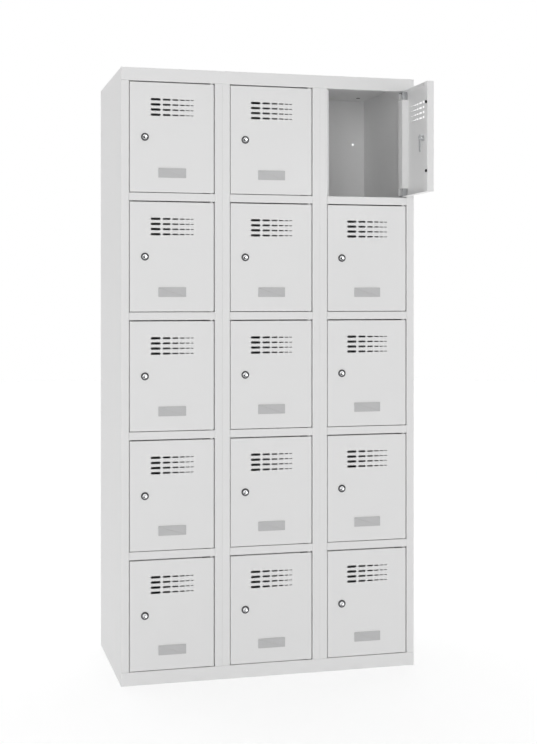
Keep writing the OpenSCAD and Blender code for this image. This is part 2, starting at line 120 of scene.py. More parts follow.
class Graph:
    """The node tree of one material or of the world."""

    def __init__(self, tree: bpy.types.NodeTree) -> None:
        """Empties the tree and keeps it."""
        self.tree = tree
        tree.nodes.clear()

    def node(
        self,
        kind: str,
        settings: dict[str, Any] | None = None,
        sockets: dict[str | int, Any] | None = None,
    ) -> bpy.types.Node:
        """Adds a node.

        Args:
            kind: The node's type.
            settings: Its properties, set first.
            sockets: The value or the link of each input, by name or place.

        Returns:
            The node.
        """
        made = self.tree.nodes.new(kind)
        for name, value in (settings or {}).items():
            setattr(made, name, value)
        for key, value in (sockets or {}).items():
            if isinstance(value, Signal):
                value = value.socket
            if isinstance(value, bpy.types.NodeSocket):
                self.tree.links.new(value, made.inputs[key])
            else:
                made.inputs[key].default_value = value
        return made

    def place(self) -> Signal:
        """Returns the Object coordinates of the surface."""
        return Signal(self, self.node("ShaderNodeTexCoord").outputs["Object"])

    def axes(self, vector: Signal) -> tuple[Signal, Signal, Signal]:
        """Splits a vector into its X, Y and Z values."""
        outputs = self.node("ShaderNodeSeparateXYZ", {}, {0: vector}).outputs
        return Signal(self, outputs[0]), Signal(self, outputs[1]), Signal(self, outputs[2])

    def noise(self, place: Signal, grain: float, detail: float = 2.0) -> Signal:
        """Adds a noise pattern.

        Args:
            place: The coordinates that it reads.
            grain: The size of one of its patches, in metres.
            detail: How many finer layers it has.

        Returns:
            A value around a half, from 0 to 1.
        """
        sockets = {"Vector": place, "Scale": 1.0 / grain, "Detail": detail, "Roughness": 0.5}
        return Signal(self, self.node("ShaderNodeTexNoise", {}, sockets).outputs[0])

    def blend(self, share: Signal, low: Sequence[float], high: Sequence[float]) -> Signal:
        """Mixes two colours.

        Args:
            share: How much of the second colour there is, from 0 to 1.
            low: The first colour.
            high: The second colour.

        Returns:
            The mixed colour.
        """
        sockets = {0: share, 6: (*low, 1.0), 7: (*high, 1.0)}
        return Signal(self, self.node("ShaderNodeMix", {"data_type": "RGBA"}, sockets).outputs[2])

    def bump(self, height: Signal, depth: float) -> Signal:
        """Turns a height from 0 to 1 into a normal, with depth as the metres that 1 stands for."""
        node = self.node("ShaderNodeBump", {}, {"Distance": depth, "Height": height})
        return Signal(self, node.outputs[0])

    def surface(self, sockets: dict[str | int, Any]) -> None:
        """Ends the graph in a Principled shader with these inputs."""
        shader = self.node("ShaderNodeBsdfPrincipled", {}, sockets)
        self.node("ShaderNodeOutputMaterial", {}, {"Surface": shader.outputs[0]})


# ---- Finishes ----


@dataclass(frozen=True)
class Finish:
    """What a surface is made of; each kind paints its own node graph."""

    name: str

    def material(self) -> bpy.types.Material:
        """Returns the finish's material, painted the first time it is asked for."""
        known = bpy.data.materials.get(self.name)
        if known is not None and known.get("painted"):
            return known
        made = bpy.data.materials.new(self.name)
        made.use_nodes = True
        self.paint(Graph(made.node_tree))
        made["painted"] = True
        return made

    def paint(self, graph: Graph) -> None:
        """Builds the finish's nodes in an empty graph."""
        raise NotImplementedError


class Along(Enum):
    """The level axis that a row of welds runs along."""

    X = 0
    Y = 1


@dataclass(frozen=True)
class WeldGrid:
    """Spot welds in rows: small dished marks at the crossings of two scales, one of them upright."""

    along: Along
    start: float
    pitch: float
    level: float
    level_pitch: float
    radius: float = 3.2 * MM
    flat_share: float = 0.55

    def mask(self, graph: Graph, place: Signal) -> Signal:
        """Marks the welds.

        Args:
            graph: The graph to build in.
            place: The Object coordinates.

        Returns:
            A value that is 1 in a weld's dish and 0 away from it.
        """
        axes = graph.axes(place)
        side = axes[self.along.value].from_nearest(self.start, self.pitch)
        rise = axes[2].from_nearest(self.level, self.level_pitch)
        distance = side.math("SQRT", side * side + rise * rise)
        return 1.0 - distance.ramp(self.radius * self.flat_share, self.radius)


@dataclass(frozen=True)
class PowderCoat(Finish):
    """Light grey powder coat: a faint cloudiness, fine orange peel and handling marks."""

    tone: float = 0.85
    cloud: float = 0.012
    cloud_grain: float = 240 * MM
    rough: float = 0.42
    handling: float = 0.14
    handling_grain: float = 35 * MM
    gloss: float = 0.45
    peel_grain: float = 1.9 * MM
    speck: float = 0.2
    speck_scale: float = 0.35
    peel_depth: float = 0.014 * MM
    weld_depth: float = 0.16 * MM
    welds: WeldGrid | None = None

    def paint(self, graph: Graph) -> None:
        """Builds the coat's nodes in an empty graph."""
        place = graph.place()
        cloudy = graph.noise(place, self.cloud_grain, 3.0)
        low = [self.tone * (1 - self.cloud)] * 3
        high = [self.tone * (1 + self.cloud)] * 3
        handled = graph.noise(place, self.handling_grain, 4.0)
        peel = graph.noise(place, self.peel_grain, 1.0)
        speck = graph.noise(place, self.peel_grain * self.speck_scale, 0.0)
        height = peel * (1 - self.speck) + speck * self.speck
        depth = self.peel_depth
        if self.welds is not None:
            depth = self.weld_depth
            height = height * (self.peel_depth / depth) - self.welds.mask(graph, place)
        graph.surface(
            {
                "Base Color": graph.blend(cloudy, low, high),
                "Roughness": handled * self.handling + self.rough,
                "Normal": graph.bump(height, depth),
                "Specular IOR Level": self.gloss,
            }
        )


@dataclass(frozen=True)
class Plate(Finish):
    """A plated metal: fine brushing, dull patches and, on zinc, crystal grains.

    shine is the roughness at its lowest, and patch is what the patches add to it.
    """

    tint: Colour = (0.78, 0.79, 0.80)
    dulling: float = 0.86
    shine: float = 0.12
    patch: float = 0.06
    patch_grain: float = 4 * MM
    brush_grain: float = 0.35 * MM
    brush_depth: float = 0.004 * MM
    spangle: float = 0.0
    spangle_grain: float = 2.2 * MM

    def paint(self, graph: Graph) -> None:
        """Builds the metal's nodes in an empty graph."""
        place = graph.place()
        brushing = graph.noise(place, self.brush_grain, 2.0)
        patches = graph.noise(place, self.patch_grain, 3.0)
        sockets = {"Vector": place, "Scale": 1.0 / self.spangle_grain}
        cells = graph.node("ShaderNodeTexVoronoi", {}, sockets)
        grains = graph.axes(Signal(graph, cells.outputs["Color"]))[0]
        share = patches * (1 - self.spangle) + grains * self.spangle
        dull = [part * self.dulling for part in self.tint]
        graph.surface(
            {
                "Base Color": graph.blend(share, dull, self.tint),
                "Metallic": 1.0,
                "Roughness": patches * self.patch + grains * (self.spangle * 0.1) + self.shine,
                "Normal": graph.bump(brushing, self.brush_depth),
            }
        )


@dataclass(frozen=True)
class Moulding(Finish):
    """A moulded plastic or rubber: mould texture, slight mottling and soft gloss."""

    tint: Colour = (0.8, 0.79, 0.75)
    rough: float = 0.5
    rough_spread: float = 0.16
    mottle: float = 0.04
    mottle_grain: float = 9 * MM
    grain: float = 0.5 * MM
    depth: float = 0.02 * MM
    gloss: float = 0.5

    def paint(self, graph: Graph) -> None:
        """Builds the moulding's nodes in an empty graph."""
        place = graph.place()
        mottled = graph.noise(place, self.mottle_grain, 3.0)
        texture = graph.noise(place, self.grain, 2.0)
        low = [part * (1 - self.mottle) for part in self.tint]
        high = [min(1.0, part * (1 + self.mottle)) for part in self.tint]
        graph.surface(
            {
                "Base Color": graph.blend(mottled, low, high),
                "Roughness": texture * self.rough_spread + (self.rough - self.rough_spread / 2),
                "Normal": graph.bump(texture, self.depth),
                "Specular IOR Level": self.gloss,
            }
        )


class Slot(Enum):
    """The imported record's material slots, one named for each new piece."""

    COAT = "powder_coat"
    ZINC = "zinc"
    CHROME = "chrome"
    NYLON = "nylon"
    RUBBER = "rubber"


CHROME = Plate("bright_chrome", tint=(0.90, 0.91, 0.92), shine=0.16)
SATIN_CHROME = Plate("satin_chrome", tint=(0.74, 0.75, 0.76), shine=0.24, patch=0.1)
DARK_NICKEL = Plate("dark_nickel", tint=(0.12, 0.12, 0.125), shine=0.26, patch=0.1)
ZINC = Plate("zinc_plate", tint=(0.50, 0.51, 0.52), shine=0.36, patch=0.14, spangle=0.6)
BRIGHT_ZINC = Plate("bright_zinc", tint=(0.76, 0.77, 0.78), shine=0.5, patch=0.1, spangle=0.3)
NYLON = Moulding("natural_nylon", tint=(0.92, 0.92, 0.90), rough=0.42)
RUBBER = Moulding(
    "black_rubber", tint=(0.022, 0.022, 0.023), rough=0.62, mottle=0.2, depth=0.04 * MM, gloss=0.2
)
LABEL = Moulding("label_plastic", tint=(0.56, 0.56, 0.565), rough=0.5, mottle=0.012, depth=0.012 * MM)


# ---- Mesh work ----


class Boolean(Enum):
    """What a tool does to the piece that it meets."""

    CUT = "DIFFERENCE"
    FUSE = "UNION"


class Bench:
    """Mesh work by operators, on one object at a time."""

    SMOOTH_BELOW = math.radians(40)

    @staticmethod
    def clear() -> None:
        """Leaves object mode with nothing selected."""
        if bpy.context.object is not None and bpy.context.object.mode != "OBJECT":
            bpy.ops.object.mode_set(mode="OBJECT")
        bpy.ops.object.select_all(action="DESELECT")

    @staticmethod
    def only(piece: bpy.types.Object) -> None:
        """Makes a piece the one that is selected and active."""
        Bench.clear()
        piece.select_set(True)
        bpy.context.view_layer.objects.active = piece

    @staticmethod
    def block(name: str, low: Sequence[float], high: Sequence[float]) -> bpy.types.Object:
        """Adds a block between two opposite corners.

        Args:
            name: The object's name.
            low: Its lowest corner.
            high: Its highest corner.

        Returns:
            The block, in object mode.
        """
        Bench.clear()
        size = Vector(high) - Vector(low)
        bpy.ops.mesh.primitive_cube_add(size=1.0, location=(Vector(low) + Vector(high)) / 2)
        made = bpy.context.object
        made.name = name
        made.scale = size
        bpy.ops.object.transform_apply(location=True, rotation=False, scale=True)
        return made

    @staticmethod
    def rod(name: str, radius: float, start: float, end: float, sides: int = 40) -> bpy.types.Object:
        """Adds an upright rod or prism on the Z axis.

        Args:
            name: The object's name.
            radius: Its radius, to the corners of a prism.
            start: The height of its lower end.
            end: The height of its upper end.
            sides: How many sides it has.

        Returns:
            The rod, in object mode.
        """
        Bench.clear()
        bpy.ops.mesh.primitive_cylinder_add(
            vertices=sides, radius=radius, depth=end - start, location=(0, 0, (start + end) / 2)
        )
        made = bpy.context.object
        made.name = name
        bpy.ops.object.transform_apply(location=True, rotation=False, scale=True)
        return made

    @staticmethod
    def turned(name: str, outline: Sequence[Point], steps: int = 40) -> bpy.types.Object:
        """Turns an outline round the Z axis, as on a lathe.

        Args:
            name: The object's name.
            outline: Its corners as (radius, height), closed unless both its ends are on the axis.
            steps: How many sides the turned piece has.

        Returns:
            The turned piece, in object mode.
        """
        Bench.clear()
        bpy.ops.mesh.primitive_plane_add(size=MM)
        made = bpy.context.object
        made.name = name
        bpy.ops.object.mode_set(mode="EDIT")
        bpy.ops.mesh.select_mode(type="VERT")
        bpy.ops.mesh.select_all(action="SELECT")
        bpy.ops.mesh.merge(type="CENTER")
        here = outline[0]
        bpy.ops.transform.translate(value=(here[0], 0, here[1]))
        on_axis = outline[0][0] == 0 and outline[-1][0] == 0
        for corner in [*outline[1:], *([] if on_axis else outline[:1])]:
            step = (corner[0] - here[0], 0, corner[1] - here[1])
            bpy.ops.mesh.extrude_vertices_move(TRANSFORM_OT_translate={"value": step})
            here = corner
        Bench.weld()
        bpy.ops.mesh.spin(steps=steps, angle=2 * math.pi, center=(0, 0, 0), axis=(0, 0, 1))
        Bench.weld()
        bpy.ops.mesh.normals_make_consistent(inside=False)
        bpy.ops.object.mode_set(mode="OBJECT")
        return made

    @staticmethod
    def smooth(piece: bpy.types.Object) -> bpy.types.Object:
        """Shades a piece smoothly between its sharp edges, and returns it."""
        Bench.only(piece)
        bpy.ops.object.shade_smooth_by_angle(angle=Bench.SMOOTH_BELOW)
        return piece

    @staticmethod
    def weld() -> None:
        """Merges the doubles of the mesh in edit mode, and leaves it all selected."""
        bpy.ops.mesh.select_all(action="SELECT")
        bpy.ops.mesh.remove_doubles(threshold=1e-6)
        bpy.ops.mesh.select_all(action="SELECT")

    @staticmethod
    def unpick(piece: bpy.types.Object, kind: str) -> None:
        """Clears a piece's selection of faces or edges, and leaves it in object mode."""
        Bench.only(piece)
        bpy.ops.object.mode_set(mode="EDIT")
        bpy.ops.mesh.select_mode(type=kind)
        bpy.ops.mesh.select_all(action="DESELECT")
        bpy.ops.object.mode_set(mode="OBJECT")

    @staticmethod
    def pick_faces(piece: bpy.types.Object, wanted: Callable[[Vector, Vector], bool]) -> None:
        """Enters edit mode with some faces selected.

        Args:
            piece: The object to work on.
            wanted: Tells from a face's centre and normal whether it is selected.
        """
        Bench.unpick(piece, "FACE")
        for face in piece.data.polygons:
            face.select = wanted(face.center, face.normal)
        bpy.ops.object.mode_set(mode="EDIT")

    @staticmethod
    def pick_edges(piece: bpy.types.Object, wanted: Callable[[Vector, Vector], bool]) -> None:
        """Enters edit mode with some edges selected.

        Args:
            piece: The object to work on.
            wanted: Tells from an edge's two ends whether it is selected.
        """
        Bench.unpick(piece, "EDGE")
        points = piece.data.vertices
        for edge in piece.data.edges:
            edge.select = wanted(points[edge.vertices[0]].co, points[edge.vertices[1]].co)
        bpy.ops.object.mode_set(mode="EDIT")

    @staticmethod
    def done() -> None:
        """Leaves edit mode."""
        bpy.ops.object.mode_set(mode="OBJECT")

    @staticmethod
    def combine(piece: bpy.types.Object, tool: bpy.types.Object, how: Boolean = Boolean.CUT) -> None:
        """Cuts a piece with a tool, or joins the tool to it, and removes the tool.

        Args:
            piece: The object that is kept.
            tool: The object that is used up.
            how: Whether the tool is cut away or joined on.
        """
        Bench.only(piece)
        modifier = piece.modifiers.new("combine", "BOOLEAN")
        modifier.operation = how.value
        modifier.solver = "EXACT"
        modifier.object = tool
        bpy.ops.object.modifier_apply(modifier=modifier.name)
        bpy.data.objects.remove(tool)

    @staticmethod
    def ease(piece: bpy.types.Object, width: float, segments: int = 2, angle: float = 35.0) -> None:
        """Rounds a piece's sharp edges and shades it smoothly between them.

        Args:
            piece: The object to work on.
            width: The width of the rounding.
            segments: How many faces it has across.
            angle: Edges sharper than this, in degrees, are rounded.
        """
        Bench.only(piece)
        modifier = piece.modifiers.new("ease", "BEVEL")
        modifier.width = width
        modifier.segments = segments
        modifier.limit_method = "ANGLE"
        modifier.angle_limit = math.radians(angle)
        bpy.ops.object.modifier_apply(modifier=modifier.name)
        bpy.ops.object.shade_smooth_by_angle(angle=Bench.SMOOTH_BELOW)

    @staticmethod
    def join(name: str, pieces: Iterable[bpy.types.Object]) -> bpy.types.Object:
        """Makes several objects one.

        Args:
            name: The name of the result.
            pieces: The objects, which are used up.

        Returns:
            The one object.
        """
        several = list(pieces)
        Bench.only(several[0])
        for piece in several:
            piece.select_set(True)
        bpy.ops.object.join()
        several[0].name = name
        return several[0]

    @staticmethod
    def copy(pattern: bpy.types.Object, name: str, place: Matrix) -> bpy.types.Object:
        """Copies a pattern with a mesh of its own.

        Args:
            pattern: The object to copy.
            name: The copy's name.
            place: Where it goes; the copy's vertices are moved there.

        Returns:
            The copy, with its object at the origin.
        """
        made = bpy.data.objects.new(name, pattern.data.copy())
        made.data.transform(place)
        bpy.context.scene.collection.objects.link(made)
        return made


def arc(centre: Point, radius: float, start: float, end: float, steps: int) -> list[Point]:
    """Points on an arc, for an outline.

    Args:
        centre: The arc's centre.
        radius: Its radius.
        start: The angle of its first point, in degrees.
        end: The angle of its last point, in degrees.
        steps: How many straight steps it has.

    Returns:
        The points, from start to end.
    """
    angles = [math.radians(start + (end - start) * i / steps) for i in range(steps + 1)]
    return [(centre[0] + radius * math.cos(a), centre[1] + radius * math.sin(a)) for a in angles]


# ---- Doors ----


@dataclass(frozen=True)
class Doorway:
    """One door's key, its pivot at mid height, and the angle in radians that it stands at."""

    key: str
    pivot: Vector
    angle: float

    @property
    def closed(self) -> bool:
        """Whether the door is shut at rest."""
        return abs(self.angle) < 0.01

    @property
    def place(self) -> Matrix:
        """The door's own frame in the model's frame."""
        return Matrix.Translation(self.pivot) @ Matrix.Rotation(self.angle, 4, "Z")


def joints_by_name() -> dict[str, Any]:
    """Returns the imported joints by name."""
    return {joint["name"]: joint for joint in frame["joints"]}


def find_doorways() -> list[Doorway]:
    """Reads every door's place from the joints.

    Returns:
        The doorways. A lock's axis shows which way its door faces.
    """
    joints = joints_by_name()
    found = []
    for name, joint in joints.items():
        if not name.startswith("door_"):
            continue
        key = joint["child"].removeprefix("door_")
        into = joints[f"lock_{key}_turn"]["axis"]
        found.append(Doorway(key, Vector(joint["pos_m"]), math.atan2(-into[0], into[1])))
    return found


@dataclass(frozen=True)
class DoorShape:
    """The faces of a door in its own frame, read from a closed door, and where its lock is."""

    lock_edge: float
    hinge_edge: float
    face: float
    rear: float
    foot: float
    head: float
    lock_x: float

    @classmethod
    def read(cls, doorway: Doorway) -> "DoorShape":
        """Measures a closed door.

        Args:
            doorway: The place of a door that is closed at rest.

        Returns:
            The shape that all the doors share.
        """
        low, high = (corner - doorway.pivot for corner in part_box(f"door_panel_{doorway.key}"))
        lock = Vector(joints_by_name()[f"lock_{doorway.key}_turn"]["pos_m"]) - doorway.pivot
        return cls(low.x, high.x, low.y, high.y, low.z, high.z, lock.x)

    @property
    def lock_place(self) -> Matrix:
        """The lock's frame in the door's: Z out of the face, Y up."""
        return Matrix.Translation((self.lock_x, self.face, 0)) @ Matrix.Rotation(math.pi / 2, 4, "X")


@dataclass
class Fitting:
    """A pattern that is modelled once and copied to every door."""

    name: str
    pattern: bpy.types.Object
    finish: Finish
    slot: Slot
    on_lock: bool = False

    def fit(self, doorways: Iterable[Doorway]) -> int:
        """Copies the pattern to each doorway, dresses the copies and makes them ride.

        Args:
            doorways: The doors that get one.

        Returns:
            How many copies were made.
        """
        self.pattern.data.materials.clear()
        self.pattern.data.materials.append(self.finish.material())
        count = 0
        for doorway in doorways:
            copy = Bench.copy(self.pattern, f"{self.name}_{doorway.key}", doorway.place)
            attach(copy, f"lock_{doorway.key}" if self.on_lock else f"door_{doorway.key}")
            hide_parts(f"lock_core_{doorway.key}" if self.on_lock else f"door_fittings_{doorway.key}")
            count += 1
        bpy.data.objects.remove(self.pattern)
        return count


@dataclass
class CamLock:
    """A cam lock: threaded housing with its bezel, nut, plug, cam and cam screw."""

    shape: DoorShape
    bezel_radius: float = 11.5 * MM
    bezel_height: float = 3.0 * MM
    rim_radius: float = 8.4 * MM
    housing_radius: float = 9.3 * MM
    housing_rear: float = 25.4 * MM
    thread_pitch: float = 1.5 * MM
    thread_depth: float = 0.5 * MM
    bore_radius: float = 7.05 * MM
    plug_radius: float = 7.0 * MM
    keyhole: tuple[float, float, float] = (1.6 * MM, 8.0 * MM, 18.0 * MM)
    drive_width: float = 9.0 * MM
    nut_flats: float = 24.0 * MM
    nut_faces: tuple[float, float] = (0.9 * MM, 4.9 * MM)
    nut_bore: float = 9.6 * MM
    cam_faces: tuple[float, float] = (25.5 * MM, 27.5 * MM)
    cam_width: float = 14.0 * MM
    cam_eye: float = 8.75 * MM
    cam_length: float = 42.25 * MM
    screw_head_radius: float = 6.0 * MM
    screw_head_rear: float = 30.6 * MM
    screw_radius: float = 2.5 * MM
    screw_length: float = 10.0 * MM

    def bezel(self) -> bpy.types.Object:
        """Turns the bezel: a sloped ring with a rounded edge, round the mouth of the bore."""
        top = self.bezel_height + GLUE
        edge, ease = 0.5 * MM, 0.1 * MM
        outline = [(self.bore_radius, GLUE), (self.bore_radius, top - 0.6 * MM)]
        outline += [(self.bore_radius + 0.3 * MM, top - 0.25 * MM), (self.rim_radius - 0.6 * MM, top)]
        outline += [(self.rim_radius, top - 0.05 * MM)]
        outline += arc((self.bezel_radius - edge, GLUE + 2 * edge), edge, 60, 0, 3)
        outline += [(self.bezel_radius, GLUE + ease), (self.bezel_radius - ease, GLUE)]
        return Bench.smooth(Bench.turned("lock_bezel", outline, 48))

    def housing(self) -> bpy.types.Object:
        """Turns the housing's body: thread rings outside, the plug's bore inside."""
        crest, root = self.housing_radius, self.housing_radius - self.thread_depth
        rear, chamfer = -self.housing_rear, 0.3 * MM
        outline = [(self.bore_radius, rear), (self.bore_radius, GLUE), (root, GLUE)]
        depth = self.thread_pitch
        while depth < self.housing_rear - self.thread_pitch:
            outline += [(root, -depth), (crest, -depth - self.thread_pitch / 2)]
            depth += self.thread_pitch
        outline += [(root, -depth), (root, rear + chamfer), (root - chamfer, rear)]
        return Bench.smooth(Bench.turned("lock_housing", outline, 48))

    def plug(self) -> bpy.types.Object:
        """Turns the plug, then adds its driving square and cuts its keyhole."""
        top = self.bezel_height + GLUE
        face = top - 0.25 * MM
        edge = 0.45 * MM
        outline = [(0.0, -self.housing_rear), (self.plug_radius, -self.housing_rear)]
        outline += [(self.plug_radius, top - edge)]
        outline += arc((self.plug_radius - edge, top - edge), edge, 15, 90, 3)
        outline += [(self.plug_radius - 1.3 * MM, top), (self.plug_radius - 1.6 * MM, face), (0.0, face)]
        made = Bench.turned("lock_plug", outline, 48)
        half = self.drive_width / 2
        low = (-half, -half, -self.cam_faces[1])
        Bench.combine(made, Bench.block("drive", low, (half, half, half - self.housing_rear)), Boolean.FUSE)
        width, height, depth = self.keyhole
        slot = Bench.block("slot", (-width / 2, -height / 2, -depth), (width / 2, height / 2, top + MM))
        Bench.combine(made, slot)
        Bench.ease(made, 0.12 * MM, 2, 50)
        return made

    def nut(self) -> bpy.types.Object:
        """Makes the hexagon nut: a prism with a plain bore and eased edges."""
        near, far = self.nut_faces
        made = Bench.rod("lock_nut", self.nut_flats / 2 / math.cos(math.pi / 6), -far, -near, 6)
        Bench.combine(made, Bench.rod("bore", self.nut_bore, -far - MM, MM - near, 40))
        Bench.ease(made, 0.45 * MM, 2)
        return made

    def cam(self) -> bpy.types.Object:
        """Makes the cam, a round-ended strip with a square hole, and its cross-head screw."""
        near, far = self.cam_faces
        half, tip = self.cam_width / 2, -self.cam_length
        strip = Bench.block("cam", (-half, tip, -far), (half, 0, -near))
        Bench.pick_edges(strip, lambda a, b: abs(a.z - b.z) > MM and a.y < tip + MM)
        bpy.ops.mesh.bevel(offset=half * 0.98, segments=10, profile=0.5)
        Bench.done()
        Bench.combine(strip, Bench.rod("eye", self.cam_eye, -far, -near, 48), Boolean.FUSE)
        hole = self.drive_width / 2 + 0.1 * MM
        Bench.combine(strip, Bench.block("hole", (-hole, -hole, -far - MM), (hole, hole, MM - near)))
        Bench.ease(strip, 0.3 * MM, 2)
        return Bench.join("lock_cam", [strip, self.screw()])

    def screw(self) -> bpy.types.Object:
        """Turns the cam screw, domes its head and cuts its cross."""
        seat, rear = self.cam_faces[1] + 0.1 * MM, self.screw_head_rear
        radius, crown = self.screw_head_radius, 1.2 * MM
        ease = 0.2 * MM
        outline = [(0.0, self.screw_length - seat), (self.screw_radius, self.screw_length - seat)]
        outline += [(self.screw_radius, -seat), (radius - ease, -seat), (radius, -seat - ease)]
        dome = (0.0, 0.35, 0.7, 1.1)
        outline += [(radius * math.cos(a), -rear + crown * (1 - math.sin(a))) for a in dome]
        outline += [(0.0, -rear)]
        made = Bench.turned("cam_screw", outline, 32)
        arm, wide, deep = 3.1 * MM, 0.55 * MM, 1.7 * MM
        for x, y in ((wide, arm), (arm, wide)):
            Bench.combine(made, Bench.block("cross", (-x, -y, -rear - MM), (x, y, deep - rear)))
        return Bench.smooth(made)

    def fittings(self) -> list[Fitting]:
        """Models the lock's pieces in the door's frame.

        Returns:
            The pieces on the door, then those that turn with the key.
        """
        made = [
            Fitting("lock_bezel", self.bezel(), DARK_NICKEL, Slot.CHROME),
            Fitting("lock_housing", self.housing(), SATIN_CHROME, Slot.CHROME),
            Fitting("lock_nut", self.nut(), ZINC, Slot.ZINC),
            Fitting("lock_plug", self.plug(), CHROME, Slot.CHROME, on_lock=True),
            Fitting("lock_cam", self.cam(), BRIGHT_ZINC, Slot.ZINC, on_lock=True),
        ]
        for fitting in made:
            fitting.pattern.data.transform(self.shape.lock_place)
        return made


@dataclass
class LabelHolder:
    """A flat label holder glued to the door, with a sunk field for the card."""

    shape: DoorShape
    width: float = 82.0 * MM
    height: float = 28.0 * MM
    thickness: float = 1.5 * MM
    rise: float = 42.75 * MM
    corner: float = 1.2 * MM
    rim: float = 1.4 * MM
    sunk: float = 0.35 * MM

    def holder(self) -> bpy.types.Object:
        """Models the holder: rounded corners, an inset rim and a sunk field."""
        left = (self.shape.lock_edge + self.shape.hinge_edge) / 2 - self.width / 2
        front = self.shape.face - GLUE - self.thickness
        low = Vector((left, front, self.shape.foot + self.rise))
        high = low + Vector((self.width, self.thickness, self.height))
        made = Bench.block("label_holder", low, high)
        Bench.pick_edges(made, lambda a, b: abs(a.y - b.y) > MM)
        bpy.ops.mesh.bevel(offset=self.corner, segments=4, profile=0.5)
        Bench.pick_faces(made, lambda centre, normal: normal.y < -0.9)
        bpy.ops.mesh.inset(thickness=self.rim, depth=0.0)
        bpy.ops.mesh.extrude_region_move(TRANSFORM_OT_translate={"value": (0, self.sunk, 0)})
        Bench.done()
        Bench.ease(made, 0.2 * MM, 2)
        return made

    def fittings(self) -> list[Fitting]:
        """Returns the one piece, modelled in the door's frame."""
        return [Fitting("label_holder", self.holder(), LABEL, Slot.COAT)]


@dataclass
class Buffers:
    """Two rubber buffers pushed through the lip on the lock side."""

    shape: DoorShape
    radius: float = 4.5 * MM
    height: float = 3.9 * MM
    inset: float = 6.5 * MM
    span: float = 200.0 * MM
    stem_radius: float = 2.0 * MM
    barb_radius: float = 3.0 * MM
    barb: float = 1.5 * MM

    def buffer(self) -> bpy.types.Object:
        """Turns one buffer on the Z axis, with its head up and its seat at zero."""
        dome, ease = 1.1 * MM, 0.2 * MM
        outline = [(0.0, -SHEET - self.barb), (self.barb_radius - 0.8 * MM, -SHEET - self.barb)]
        outline += [(self.barb_radius, -SHEET - 0.4 * MM), (self.barb_radius, -SHEET)]
        outline += [(self.stem_radius, -SHEET), (self.stem_radius, 0.0)]
        outline += [(self.radius - ease, 0.0), (self.radius, ease)]
        outline += arc((self.radius - dome, self.height - dome), dome, 0, 75, 4)
        outline += [(0.0, self.height)]
        return Bench.smooth(Bench.turned("buffer", outline, 32))

    def pair(self) -> bpy.types.Object:
        """Copies the buffer to its two places on the lip and joins them."""
        pattern = self.buffer()
        turned = Matrix.Rotation(-math.pi / 2, 4, "X")
        both = []
        for side in (-1, 1):
            spot = (self.shape.lock_edge + self.inset, self.shape.rear, side * self.span / 2)
            both.append(Bench.copy(pattern, f"buffer_{side}", Matrix.Translation(spot) @ turned))
        bpy.data.objects.remove(pattern)
        return Bench.join("buffers", both)

    def fittings(self) -> list[Fitting]:
        """Returns the pair as one piece, modelled in the door's frame."""
        return [Fitting("buffers", self.pair(), RUBBER, Slot.RUBBER)]


